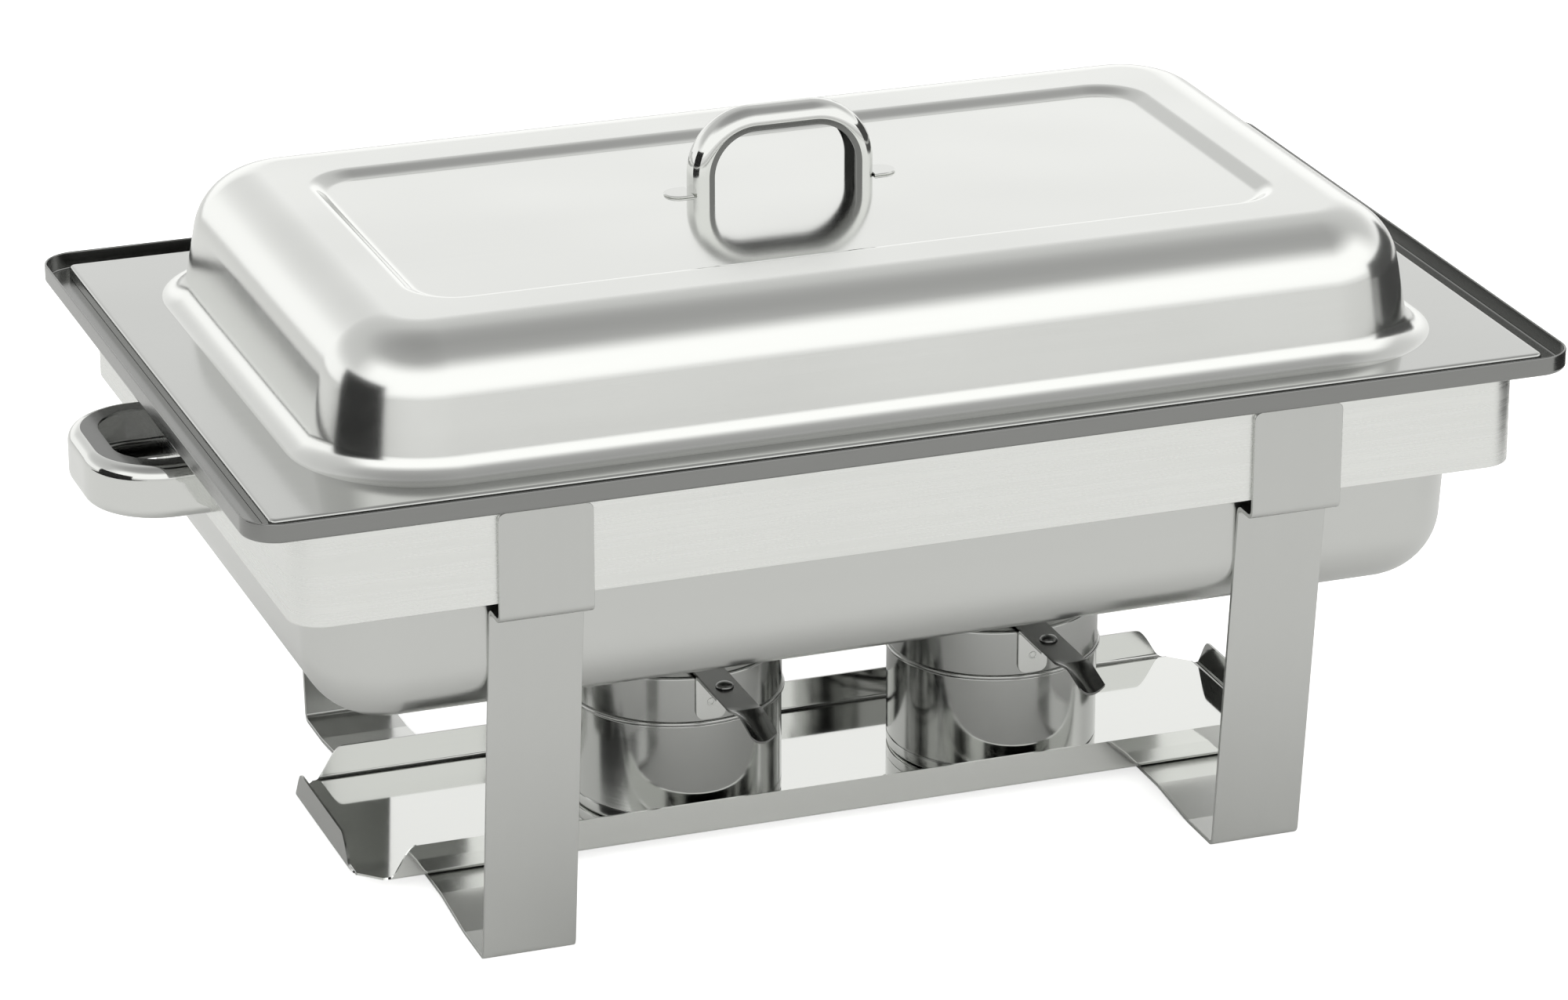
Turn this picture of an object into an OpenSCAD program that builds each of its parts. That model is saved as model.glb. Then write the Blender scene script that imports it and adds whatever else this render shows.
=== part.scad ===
// Chafing dish: a stand that holds a water pan, a food pan and a domed lid over two fuel burners.
// The long side lies along X, the front faces -Y, and the origin is on the floor under the middle.

/* [Food pan] */
// Outer length of the food pan's flange, a full-size container
food_l = 530; // [440:1:640]
// Outer depth of the food pan's flange
food_w = 325; // [270:1:390]
// Corner radius of the flange
food_r = 20; // [12:1:30]
// Depth of the food pan
food_depth = 65; // [40:1:80]
// Width of the food pan's flange at the ends
food_flange_l = 14; // [11:0.5:18]
// Width of the food pan's flange at the long sides
food_flange_w = 14.5; // [12:0.5:18]
// Corner radius of the food pan's body
food_body_r = 37; // [32:1:45]
// How much the food pan narrows on each side towards its floor
food_draft = 6; // [2:0.5:10]
// Radius between the food pan's walls and its floor
food_bend = 18; // [10:1:24]
// Height of the turned-down edge of the flange
food_lip = 3.2; // [2:0.1:4]
// Sheet thickness of the food pan
food_t = 0.9; // [0.6:0.1:1.2]

/* [Water pan] */
// Width of the ledge outside the food pan at the ends
ledge_l = 30; // [24:1:40]
// Width of the ledge outside the food pan at the long sides
ledge_w = 14.5; // [12:0.5:30]
// How far the food pan's flange laps over the ledge at the ends
seat_l = 2.5; // [2:0.5:6]
// How far the food pan's flange laps over the ledge at the long sides
seat_w = 8.5; // [6:0.5:10]
// Outer corner radius of the rim
rim_r = 16; // [8:1:25]
// Height of the rim from the underside of the ledge
rim_h = 8.6; // [6:0.2:14]
// Corner radius of the pan's body
body_r = 40; // [37:1:55]
// How much the body narrows on each side towards its floor
body_draft = 4; // [2:0.5:6]
// Gap between the top of the burners and the pan's floor
burner_room = 31; // [29.5:0.5:60]
// Radius between the pan's walls and its floor
body_bend = 31; // [15:1:34]
// Sheet thickness of the water pan
water_t = 1; // [0.6:0.1:1.5]

/* [Lid] */
// Gap between the lid's lip and the food pan's flange under it
lid_clear = 1.2; // [0.6:0.1:3]
// Gap between the lid's edge and the water pan's rim at the ends
lid_gap_l = 11.5; // [6:0.5:14]
// Gap between the lid's edge and the water pan's rim at the long sides
lid_gap_w = 10.7; // [8:0.1:13]
// Width of the lid's flange at the ends
flange_run_l = 36; // [28:1:44]
// Width of the lid's flange at the long sides
flange_run_w = 20.8; // [17:0.2:28]
// Height of the dome above the flange
dome_h = 56.6; // [45:0.2:80]
// Corner radius of the dome where it meets the flange
dome_r = 50; // [46:1:60]
// Radius of the rounded shoulder
shoulder_r = 30; // [20:1:36]
// Lean of the dome's walls, in degrees
dome_lean = 10; // [4:1:12]
// Radius between the wall and the flange
dome_fillet = 11; // [5:0.5:13.5]
// Distance from the foot of the dome to the sunk panel at the ends
panel_in_l = 49.5; // [46:0.5:70]
// Distance from the foot of the dome to the sunk panel at the long sides
panel_in_w = 55.5; // [46:0.5:70]
// Corner radius of the sunk panel
panel_r = 24; // [16:1:30]
// How far the panel is sunk
panel_sink = 3; // [1:0.5:5]
// Width of the slope round the panel
panel_slope = 6; // [3:0.5:10]
// Sheet thickness of the lid
lid_t = 0.8; // [0.6:0.1:1.2]

/* [Stand] */
// How far the water pan's rim overhangs the band at the ends
over_l = 21; // [14:1:25]
// How far the water pan's rim overhangs the band at the long sides
over_w = 11; // [6:0.5:14]
// Height of the band itself
band_h = 43; // [35:1:60]
// Height of the band's top edge above the floor
band_top = 218; // [180:1:280]
// Sheet thickness of the band
band_t = 1.2; // [0.8:0.1:3]
// Outer corner radius of the band
band_r = 15; // [8:1:30]
// Width of each leg strip
strip_w = 41; // [25:1:60]
// Distance from the end of the band to the middle of a leg strip
strip_in = 106; // [60:1:130]
// Thickness of the leg strips
strip_t = 2; // [1.5:0.1:3]
// Corner radius of the plates at the top of the legs
plate_r = 3; // [1:0.5:8]
// How far the leg's plate hangs below the band
plate_drop = 9; // [5:1:15]
// Gap between the plate's top edge and the top of the band
plate_down = 3; // [1:1:10]
// Gap between the water pan's wall and the top of each leg
leg_gap = 1.8; // [1:0.2:6]
// How much further in the foot stands than the top of the leg
leg_lean = 17.4; // [8:0.2:24]
// Length of each flat foot, from the leg towards the middle
foot_l = 26; // [18:1:32]
// Length of the slope from the foot up to the raised middle
foot_slope = 34; // [20:1:40]
// How high the middle of each foot strip is raised off the floor
foot_rise = 3.4; // [1:0.2:6]
// Inside radius of the bends in the leg strips
strip_bend = 2.5; // [1:0.5:5]

/* [Handles] */
// Outer length of the lid handle, leg to leg
lid_handle_l = 85; // [70:1:120]
// Height of the lid handle above the panel
lid_handle_h = 37; // [34:1:50]
// Width of the lid handle's channel
lid_handle_w = 16; // [13:1:24]
// Depth of the lid handle's channel
lid_handle_d = 9.5; // [6:0.5:12]
// How far behind the middle of the lid its handle stands
lid_handle_back = 14; // [0:1:20]
// Outer bend radius of the lid handle
lid_handle_r = 29; // [20:1:32]
// Outer width of the end handles, leg to leg
end_handle_l = 88; // [80:1:130]
// How far the end handles stand out from the band
end_handle_h = 48.5; // [42:0.5:60]
// Height of the end handles' channel
end_handle_w = 23.5; // [18:0.5:28]
// Depth of the end handles' channel
end_handle_d = 13; // [8:0.5:16]
// Outer bend radius of the end handles
end_handle_r = 33; // [25:1:38]
// Height of the end handles' middle above the bottom of the band
end_handle_up = 17; // [15:0.5:21]
// Sheet thickness of all the handles
handle_t = 1; // [0.8:0.1:1.5]
// How far the lid handle's tabs reach past its legs
lid_tab_l = 11; // [8:1:16]
// How far the end handles' tabs reach past their legs
end_tab_l = 7; // [6.5:0.5:16]
// Width of the tabs
tab_w = 13; // [10:1:13]

/* [Burner tray] */
// Length of the tray's floor
tray_l = 440; // [370:1:530]
// Distance from a burner standing in the middle to the side of the tray
tray_side = 9.9; // [8:0.1:14]
// Height of the tray's flanges above its underside
tray_h = 15.3; // [10:0.1:18.4]
// Size of the cut corners of the tray's floor
tray_cut = 11; // [6:1:20]
// Length of the curved end of each flange
flange_end = 15; // [10:1:20]
// Sheet thickness of the tray
tray_t = 1; // [0.6:0.1:2]

/* [Burners] */
// Place of the left burner's axis along the tray
burner_left_x = -57; // [-110:1:-52]
// Place of the right burner's axis along the tray
burner_right_x = 95; // [79:1:114]
// How far in front of the tray's middle line the burners stand
burner_front = 5; // [0:0.5:6]
// Outer radius of the fuel can
can_r = 47.6; // [39:0.1:58]
// Height of the can's full-width body
can_h = 48.5; // [40:0.5:59]
// How far the can's neck stands in the cap
neck_h = 9; // [5:0.5:11]
// Height of the whole burner to the cap's top
burner_h = 72; // [71:0.5:87]
// Sheet thickness of the can, the cap and the cover
can_t = 0.8; // [0.6:0.1:1.2]
// How much wider the cap is than the can, on each side
cap_over = 0.2; // [0:0.1:2]
// Radius of the rolled bead round the foot of the cap
bead_r = 1.2; // [0.8:0.1:2]
// Radius of the flame hole in the cap
flame_r = 30; // [25:1:32]
// How far the cover disc laps over the flame hole
cover_lap = 4; // [2:0.5:6]
// Distance from the cap's wall to the cover's pivot
pivot_out = 18.7; // [14:0.1:24]
// Width of the cover's lever
lever_w = 14; // [11:0.5:18]
// How far past the bracket's tab the lever bends down into its grip
lever_out = 18; // [12:0.5:24]
// Length of the lever's bent grip
grip_l = 23; // [15:0.5:30]
// Downward lean of the grip, in degrees
grip_lean = 15; // [0:1:30]
// Thickness of the lever and its bracket
lever_t = 1.2; // [0.8:0.1:2]
// Radius of the pivot rivet's shank
pivot_r = 2; // [1.5:0.1:3]
// Distance from the pivot to the end of the bracket's tab
bracket_end = 9; // [6:0.5:12]

/* [Hidden] */

seat = 0.2;          // gap between pieces that only rest on each other
slip = 0.3;          // gap between pieces that slide or swing past each other
pivot_slip = 0.08;   // radial gap of the lever's hole on its rivet
bend_gap = 0.7;      // gap between a leg and the water pan where its walls start to bend
quarter = 8;         // facets in a quarter turn of a pressed shell's corner
arc_steps = 5;       // facets along a bend of a pressed shell
round_fn = 96;       // facets of circles, which become true curves

// Plan sizes, worked outwards and inwards from the food pan
rim_l = food_l + 2 * ledge_l;              // water pan over its rim
rim_w = food_w + 2 * ledge_w;
body_l = food_l - 2 * seat_l;              // water pan's body at the ledge
body_w = food_w - 2 * seat_w;
band_l = rim_l - 2 * over_l;
band_w = rim_w - 2 * over_w;
dome_l = rim_l - 2 * (lid_gap_l + flange_run_l);
dome_w = rim_w - 2 * (lid_gap_w + flange_run_w);

// Heights of the pans and the lid, worked up from the band
ledge_z = band_top + seat;                 // underside of the water pan's ledge
ledge_top = ledge_z + water_t;
food_top = ledge_top + seat + food_lip;    // top of the food pan's flange
flange_z = food_top + lid_clear + lid_t;   // top of the lid's flange
lid_z = flange_z + dome_h;                 // top of the lid
panel_z = lid_z - panel_sink;              // floor of the sunk panel

// Heights of the tray and the burners, worked up from the floor
tray_z = foot_rise + strip_t + seat;       // underside of the tray
burner_z = tray_z + tray_t + seat;         // underside of the cans
shoulder_z = burner_z + can_h;             // where the can narrows to its neck
cap_foot = shoulder_z + seat;
cap_top = burner_z + burner_h;
cover_z = cap_top + slip;                  // underside of the cover disc
lever_z = cover_z + can_t;                 // underside of the lever
bracket_z = lever_z - slip;                // top of the bracket's tab
rivet_head_r = 4;
rivet_head_h = 2;
burner_top = lever_z + lever_t + slip + rivet_head_h;
body_bottom = burner_top + burner_room;    // underside of the water pan's floor

// Plan sizes of the tray and the burners
tray_w = 2 * (can_r + tray_side);
cap_r = can_r + cap_over;                  // outside of the cap's wall
neck_r = cap_r - can_t - slip;             // outside of the can's neck
pivot_d = cap_r + pivot_out;               // pivot's distance from the burner's axis
bend_d = pivot_d + bracket_end + lever_out;
cover_r = flame_r + cover_lap;

// Legs, which step in under the band and clear the water pan
plate_z = band_top - band_h - plate_drop;  // underside of the step in a leg
bend_z = body_bottom + body_bend;              // where the water pan's walls start to bend
at_step = leg_gap - body_draft * (ledge_z - plate_z) / (ledge_z - bend_z);
at_bend = bend_gap - body_draft + leg_lean * (plate_z - bend_z) / plate_z;
step_y = body_w / 2 + strip_t / 2 + max(at_step, at_bend);
foot_y = step_y - leg_lean;

steel = [0.80, 0.81, 0.79];
bright = [0.88, 0.89, 0.88];

// --- Shared shapes -------------------------------------------------------------------------

// A flat rectangle with true round corners
module round_rect(l, w, r) {
    square([l - 2 * r, w], center = true);
    square([l, w - 2 * r], center = true);
    for (sx = [-1, 1], sy = [-1, 1]) {
        translate([sx * (l / 2 - r), sy * (w / 2 - r)]) circle(r = r, $fn = round_fn);
    }
}

// One ring of points round a rectangle: half length, half depth, corner radius and height
function ring(s) = [
    for (q = [0 : 3]) for (i = [0 : quarter])
        let (a = 90 * q + 90 * i / quarter, sx = (q == 0 || q == 3) ? 1 : -1, sy = q < 2 ? 1 : -1)
        [sx * (s[0] - s[2]) + s[2] * cos(a), sy * (s[1] - s[2]) + s[2] * sin(a), s[3]]
];

// Rings along an arc: the section at the arc's centre, its radius, and its first and last angle
function arc_rings(c, r, a0, a1) = [
    for (i = [0 : arc_steps])
        let (a = a0 + (a1 - a0) * i / arc_steps)
        [c[0] + r * cos(a), c[1] + r * cos(a), c[2] + r * cos(a), c[3] + r * sin(a)]
];

function reversed(list) = [for (i = [len(list) - 1 : -1 : 0]) list[i]];

// A closed solid through a list of rings, capped flat at both ends
module pressed(sections) {
    n = 4 * (quarter + 1);
    count = len(sections);
    points = [for (s = sections) each ring(s)];
    sides = [
        for (k = [0 : count - 2]) for (i = [0 : n - 1])
            let (j = (i + 1) % n, a = k * n)
            each [[a + i, a + n + i, a + j], [a + j, a + n + i, a + n + j]]
    ];
    first = [for (i = [0 : n - 1]) i];
    last = [for (i = [n - 1 : -1 : 0]) (count - 1) * n + i];
    polyhedron(points = points, faces = concat(sides, [first], [last]), convexity = 6);
}

// Unit vector from one flat point to another
function towards(p, q) = (q - p) / norm(q - p);

// A path whose inner corners are rounded to radius r
function rounded_path(p, r) = concat([p[0]], [
    for (i = [1 : len(p) - 2])
        let (u = towards(p[i], p[i - 1]), v = towards(p[i], p[i + 1]), half = acos(u * v) / 2)
        let (start = p[i] + u * r / tan(half), middle = p[i] + (u + v) / norm(u + v) * r / sin(half))
        let (spoke = start - middle, side = u[0] * v[1] - u[1] * v[0] > 0 ? -1 : 1)
        for (k = [0 : 4])
            let (a = side * (180 - 2 * half) * k / 4)
            middle + [spoke[0] * cos(a) - spoke[1] * sin(a), spoke[0] * sin(a) + spoke[1] * cos(a)]
], [p[len(p) - 1]]);

// Sideways step from a path to the edge of a strip whose middle it is, at one of its points
function path_side(p, i, t) =
    let (a = towards(p[max(i - 1, 0)], p[max(i, 1)]))
    let (b = towards(p[min(i, len(p) - 2)], p[min(i + 1, len(p) - 1)]))
    let (m = (a + b) / norm(a + b))
    [-m[1], m[0]] * t / 2 / (m * a);

// The section of a strip of sheet with its middle along a path
module ribbon(p, t) {
    left = [for (i = [0 : len(p) - 1]) p[i] + path_side(p, i, t)];
    right = [for (i = [len(p) - 1 : -1 : 0]) p[i] - path_side(p, i, t)];
    polygon(concat(left, right));
}

// A strip bent along a path in Y and Z, its width along X about the origin
module bent_strip(p, t, w) {
    translate([-w / 2, 0, 0]) rotate([90, 0, 90]) linear_extrude(w) ribbon(p, t);
}

// A block as deep as d each way, whose top at height h has corners of radius r
module rounded_end(w, h, r, d) {
    translate([0, d, 0]) rotate([90, 0, 0]) linear_extrude(2 * d) {
        translate([-w / 2, 0]) square([w, h - r]);
        translate([r - w / 2, 0]) square([w - 2 * r, h]);
        for (s = [-1, 1]) translate([s * (w / 2 - r), h - r]) circle(r = r, $fn = round_fn);
    }
}

// --- Stand ---------------------------------------------------------------------------------

module stand_band() {
    color(steel) translate([0, 0, band_top - band_h]) linear_extrude(band_h) difference() {
        round_rect(band_l, band_w, band_r);
        round_rect(band_l - 2 * band_t, band_w - 2 * band_t, band_r - band_t);
    }
}

// Half of a leg strip's middle line, from the top of its plate to the raised middle of the foot
function leg_path() =
    let (h = strip_t / 2, plate_y = band_w / 2 + h)
    [
        [plate_y, band_top - plate_down], [plate_y, plate_z + h], [step_y, plate_z + h], [foot_y, h],
        [foot_y - foot_l, h], [foot_y - foot_l - foot_slope, foot_rise + h]
    ];

module leg_strip(x) {
    front = [for (p = leg_path()) [-p[0], p[1]]];
    path = rounded_path(concat(front, reversed(leg_path())), strip_bend + strip_t / 2);
    color(steel) translate([x, 0, 0]) intersection() {
        bent_strip(path, strip_t, strip_w);
        translate([0, 0, -1]) rounded_end(strip_w, band_top - plate_down + 1, plate_r, band_w);
    }
}

// --- Handles -------------------------------------------------------------------------------

// Outline of a channel whose crown is at x = 0 and whose open side is at x = d
module channel_outline(w, d, r) {
    translate([r, -w / 2]) square([d - r, w]);
    translate([0, r - w / 2]) square([d, w - 2 * r]);
    for (s = [-1, 1]) translate([r, s * (w / 2 - r)]) circle(r = r, $fn = round_fn);
}

module channel_section(w, d) {
    r = d * 0.45;
    difference() {
        channel_outline(w, d, r);
        translate([handle_t, 0]) channel_outline(w - 2 * handle_t, d, r - handle_t);
    }
}

// A bow of channel standing up along +Z on two tabs, its legs apart along X
module bow(l, h, w, d, r, tab_l) {
    for (s = [0, 1]) mirror([s, 0, 0]) {
        translate([l / 2, 0, handle_t]) linear_extrude(h - r - handle_t) mirror([1, 0]) channel_section(w, d);
        translate([l / 2 - r, 0, h - r]) rotate([90, 0, 0]) rotate_extrude(angle = 90, $fn = round_fn)
            translate([r, 0]) mirror([1, 0]) channel_section(w, d);
        translate([0, 0, h]) rotate([0, 90, 0]) linear_extrude(l / 2 - r) channel_section(w, d);
        translate([l / 2 - d, -tab_w / 2, 0]) cube([d + tab_l - tab_w / 2, tab_w, handle_t]);
        translate([l / 2 + tab_l - tab_w / 2, 0, 0]) cylinder(r = tab_w / 2, h = handle_t, $fn = round_fn);
    }
}

module lid_handle() {
    color(bright) translate([0, lid_handle_back, panel_z])
        bow(lid_handle_l, lid_handle_h, lid_handle_w, lid_handle_d, lid_handle_r, lid_tab_l);
}

module end_handle(side) {
    z = band_top - band_h + end_handle_up;
    color(bright) translate([side * band_l / 2, 0, z]) rotate([0, 0, side > 0 ? 0 : 180]) rotate([90, 0, 90])
        bow(end_handle_l, end_handle_h, end_handle_w, end_handle_d, end_handle_r, end_tab_l);
}

// --- Pans ----------------------------------------------------------------------------------

// Rings of a pan's wall from its floor up, at a depth into the sheet
function pan_wall(l, w, r, draft, bend, bottom, top, inset) = concat(
    arc_rings([l / 2 - draft - bend, w / 2 - draft - bend, r - draft - bend, bottom + bend],
        bend - inset, -90, 0),
    [[l / 2 - inset, w / 2 - inset, r - inset, top]]
);

module water_pan() {
    edge = 1.8;
    fold = [rim_l / 2 - edge, rim_w / 2 - edge, rim_r - edge, ledge_z + edge];
    color(steel) pressed(concat(
        pan_wall(body_l, body_w, body_r, body_draft, body_bend, body_bottom, ledge_z, 0),
        arc_rings(fold, edge, -90, 0),
        [for (in = [0, water_t]) [rim_l / 2 - in, rim_w / 2 - in, rim_r - in, ledge_z + rim_h]],
        reversed(arc_rings(fold, edge - water_t, -90, 0)),
        reversed(pan_wall(body_l, body_w, body_r, body_draft, body_bend, body_bottom, ledge_top, water_t))
    ));
}

module food_pan() {
    l = food_l - 2 * food_flange_l;
    w = food_w - 2 * food_flange_w;
    bottom = food_top - food_depth;
    edge = 1.5;
    fold = [food_l / 2 - edge, food_w / 2 - edge, food_r - edge, food_top - edge];
    color(steel) pressed(concat(
        pan_wall(l, w, food_body_r, food_draft, food_bend, bottom, food_top - food_t, 0),
        reversed(arc_rings(fold, edge - food_t, 0, 90)),
        [for (in = [food_t, 0]) [food_l / 2 - in, food_w / 2 - in, food_r - in, food_top - food_lip]],
        arc_rings(fold, edge, 0, 90),
        reversed(pan_wall(l, w, food_body_r, food_draft, food_bend, bottom, food_top, food_t))
    ));
}

// --- Lid -----------------------------------------------------------------------------------

// Rings of the lid's skin from its lip to the sunk panel, at a depth into the sheet
function lid_skin(inset) =
    let (edge = 1.5, corner = 3, turn = 90 - dome_lean, reach = dome_fillet * tan(turn / 2))
    let (l = rim_l / 2 - lid_gap_l, w = rim_w / 2 - lid_gap_w, lip_z = ledge_top + seat)
    let (rise = dome_h - shoulder_r + shoulder_r * sin(dome_lean))
    let (neck = -rise * tan(dome_lean) - shoulder_r * cos(dome_lean))
    let (panel = [dome_l / 2 - panel_in_l, dome_w / 2 - panel_in_w])
    concat(
        [[l - inset, w - inset, corner - inset, lip_z]],
        arc_rings([l - edge, w - edge, corner - edge, flange_z - edge], edge - inset, 0, 90),
        arc_rings([dome_l / 2 + reach, dome_w / 2 + reach, dome_r + reach, flange_z + dome_fillet],
            dome_fillet + inset, -90, -90 - turn),
        arc_rings([dome_l / 2 + neck, dome_w / 2 + neck, dome_r + neck, lid_z - shoulder_r],
            shoulder_r - inset, dome_lean, 90),
        [[panel[0] - inset / 3, panel[1] - inset / 3, panel_r, lid_z - inset]],
        [[panel[0] - panel_slope, panel[1] - panel_slope, panel_r - panel_slope, panel_z - inset]]
    );

module lid_shell() {
    color(steel) pressed(concat(reversed(lid_skin(lid_t)), lid_skin(0)));
}

// --- Burner tray ---------------------------------------------------------------------------

// A flange with curved ends, standing on the X axis on its inner side
module tray_flange(l) {
    swell = [for (i = [0 : 8]) [flange_end * i / 8 - l / 2, tray_h * (1 - cos(180 * i / 8)) / 2]];
    far = [for (p = reversed(swell)) [-p[0], p[1]]];
    rotate([90, 0, 0]) translate([0, 0, -tray_t]) linear_extrude(tray_t) polygon(concat(swell, far));
}

module burner_tray() {
    x = tray_l / 2;
    y = tray_w / 2;
    color(bright) translate([0, 0, tray_z]) {
        linear_extrude(tray_t) intersection() {
            square([tray_l, tray_w], center = true);
            rotate(45) square([1, 1] * (x + y - tray_cut) * sqrt(2), center = true);
        }
        for (a = [0, 180]) {
            rotate(a) translate([0, -y, 0]) tray_flange(tray_l - 2 * tray_cut);
            rotate(a + 90) translate([0, -x, 0]) tray_flange(tray_w - 2 * tray_cut);
        }
    }
}

// --- Burners, made with the axis on Z and the lever towards -Y --------------------------------

module at_burner(x) {
    translate([x, -burner_front, 0]) children();
}

// Half section of a round box from z0 to z1 whose outer corner at one end has radius e
module round_box(r, z0, z1, e, at_top) {
    translate([0, z0]) square([r - e, z1 - z0]);
    translate([0, at_top ? z0 : z0 + e]) square([r, z1 - z0 - e]);
    translate([r - e, at_top ? z1 - e : z0 + e]) intersection() {
        circle(r = e, $fn = 48);
        translate([0, -e]) square([e, 2 * e]);
    }
}

module fuel_can(x) {
    foot_round = 1.5;
    color(bright) at_burner(x) rotate_extrude($fn = round_fn) difference() {
        union() {
            round_box(can_r, burner_z, shoulder_z, foot_round, false);
            translate([0, burner_z + foot_round]) square([neck_r, can_h + neck_h - foot_round]);
        }
        round_box(can_r - can_t, burner_z + can_t, shoulder_z - can_t, foot_round - can_t, false);
        translate([0, burner_z + foot_round]) square([neck_r - can_t, can_h + neck_h]);
    }
}

module burner_cap(x) {
    edge = 1.5;
    color(bright) at_burner(x) rotate_extrude($fn = round_fn) {
        difference() {
            round_box(cap_r, cap_foot, cap_top, edge, true);
            round_box(cap_r - can_t, cap_foot - 1, cap_top - can_t, edge - can_t, true);
            translate([0, cap_foot]) square([flame_r, burner_h]);
        }
        translate([cap_r - can_t, cap_foot]) intersection() {
            translate([can_t, bead_r]) circle(r = bead_r, $fn = 48);
            square([can_t + bead_r, 2 * bead_r]);
        }
    }
}

// A strip welded upright to the cap's wall and bent out into the tab that carries the pivot
module cap_bracket(x) {
    h = lever_t / 2;
    wall = cap_r + h;
    foot = cap_foot + 2 * bead_r + 1;
    path = rounded_path([[-wall, foot], [-wall, bracket_z - h], [-pivot_d - bracket_end, bracket_z - h]], h + 1);
    color(bright) at_burner(x) difference() {
        bent_strip(path, lever_t, lever_w);
        translate([0, -pivot_d, bracket_z - lever_t]) cylinder(r = pivot_r, h = lever_t, $fn = round_fn);
    }
}

module pivot_rivet(x) {
    below = bracket_z - lever_t;
    above = lever_z + lever_t + slip;
    color(bright) at_burner(x) translate([0, -pivot_d, 0]) {
        translate([0, 0, below]) cylinder(r = pivot_r, h = above - below, $fn = round_fn);
        translate([0, 0, above]) rotate_extrude($fn = round_fn) intersection() {
            scale([rivet_head_r / rivet_head_h, 1]) circle(r = rivet_head_h, $fn = 48);
            square([rivet_head_r, rivet_head_h]);
        }
        translate([0, 0, below - 1]) cylinder(r = pivot_r + 1, h = 1, $fn = round_fn);
    }
}

module cover_lever(x) {
    h = lever_t / 2;
    z = lever_z + h;
    tip = [-bend_d - grip_l * cos(grip_lean), z - grip_l * sin(grip_lean)];
    path = rounded_path([[-flame_r / 2, z], [-bend_d, z], tip], 6);
    color(bright) at_burner(x) difference() {
        bent_strip(path, lever_t, lever_w);
        translate([0, -pivot_d, lever_z]) cylinder(r = pivot_r + pivot_slip, h = lever_t, $fn = round_fn);
    }
}

module cover_disc(x) {
    color(bright) at_burner(x) translate([0, 0, cover_z]) cylinder(r = cover_r, h = can_t, $fn = round_fn);
}

stand_band();
leg_strip(strip_in - band_l / 2);  // leg_strip_left
leg_strip(band_l / 2 - strip_in);  // leg_strip_right
end_handle(-1);  // end_handle_left
end_handle(1);  // end_handle_right
water_pan();
food_pan();
lid_shell();
lid_handle();
burner_tray();
fuel_can(burner_left_x);  // fuel_can_left
burner_cap(burner_left_x);  // burner_cap_left
cap_bracket(burner_left_x);  // cap_bracket_left
pivot_rivet(burner_left_x);  // pivot_rivet_left
cover_lever(burner_left_x);  // cover_lever_left
cover_disc(burner_left_x);  // cover_disc_left
fuel_can(burner_right_x);  // fuel_can_right
burner_cap(burner_right_x);  // burner_cap_right
cap_bracket(burner_right_x);  // cap_bracket_right
pivot_rivet(burner_right_x);  // pivot_rivet_right
cover_lever(burner_right_x);  // cover_lever_right
cover_disc(burner_right_x);  // cover_disc_right
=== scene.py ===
# %% [markdown]
# # A chafing dish in stainless steel
# This lesson dresses a packed CAD model of a chafing dish: the stand, the pans, the lid, and a tray
# with two fuel burners. The CAD bodies are the fixed frame. Each visible piece is a new, finer
# surface that rides on its CAD body, and takes its sizes from that body's box.

# %% Load the frame
import math

import bmesh
import bpy
import numpy as np
from mathutils import Matrix, Vector


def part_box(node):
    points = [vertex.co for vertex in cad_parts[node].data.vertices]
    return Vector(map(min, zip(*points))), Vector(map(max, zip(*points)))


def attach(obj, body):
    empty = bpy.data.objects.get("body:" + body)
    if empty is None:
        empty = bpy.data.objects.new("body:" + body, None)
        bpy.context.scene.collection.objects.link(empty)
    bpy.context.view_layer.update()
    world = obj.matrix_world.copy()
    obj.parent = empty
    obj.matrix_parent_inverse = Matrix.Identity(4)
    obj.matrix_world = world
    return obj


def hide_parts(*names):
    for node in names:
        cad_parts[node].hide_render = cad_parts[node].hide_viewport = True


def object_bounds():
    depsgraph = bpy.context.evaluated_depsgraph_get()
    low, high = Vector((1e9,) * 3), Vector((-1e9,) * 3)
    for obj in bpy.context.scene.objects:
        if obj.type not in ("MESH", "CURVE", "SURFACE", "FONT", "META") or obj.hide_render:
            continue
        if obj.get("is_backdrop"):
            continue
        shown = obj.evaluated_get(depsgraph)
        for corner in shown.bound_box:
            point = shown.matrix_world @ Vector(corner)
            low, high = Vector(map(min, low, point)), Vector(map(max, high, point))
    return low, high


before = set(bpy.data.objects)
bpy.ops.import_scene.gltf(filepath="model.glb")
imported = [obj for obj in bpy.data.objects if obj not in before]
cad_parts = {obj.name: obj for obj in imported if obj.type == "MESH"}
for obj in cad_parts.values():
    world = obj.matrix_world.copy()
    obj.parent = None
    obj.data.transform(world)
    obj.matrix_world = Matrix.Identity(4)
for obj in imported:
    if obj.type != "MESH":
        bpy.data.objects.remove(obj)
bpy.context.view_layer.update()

MM = 0.001
MERGE = 1e-6                   # points closer than this become one
SHARP_FROM = 35                # degrees between two faces at which their edge is drawn sharp


def span(node):
    """Low and high corner of a CAD node as two numpy arrays in metres."""
    low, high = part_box(node)
    return np.array(low), np.array(high)


# %% [markdown]
# ## Surfaces as grids
# Sheet metal is all sweeps: a section carried along a path, or a ring that grows and shrinks as it
# rises. So one helper turns a grid of points into a mesh, and every later shape is only a formula
# for the grid. Rows may wrap round, as a ring does, and the first and last row may be closed.


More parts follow.
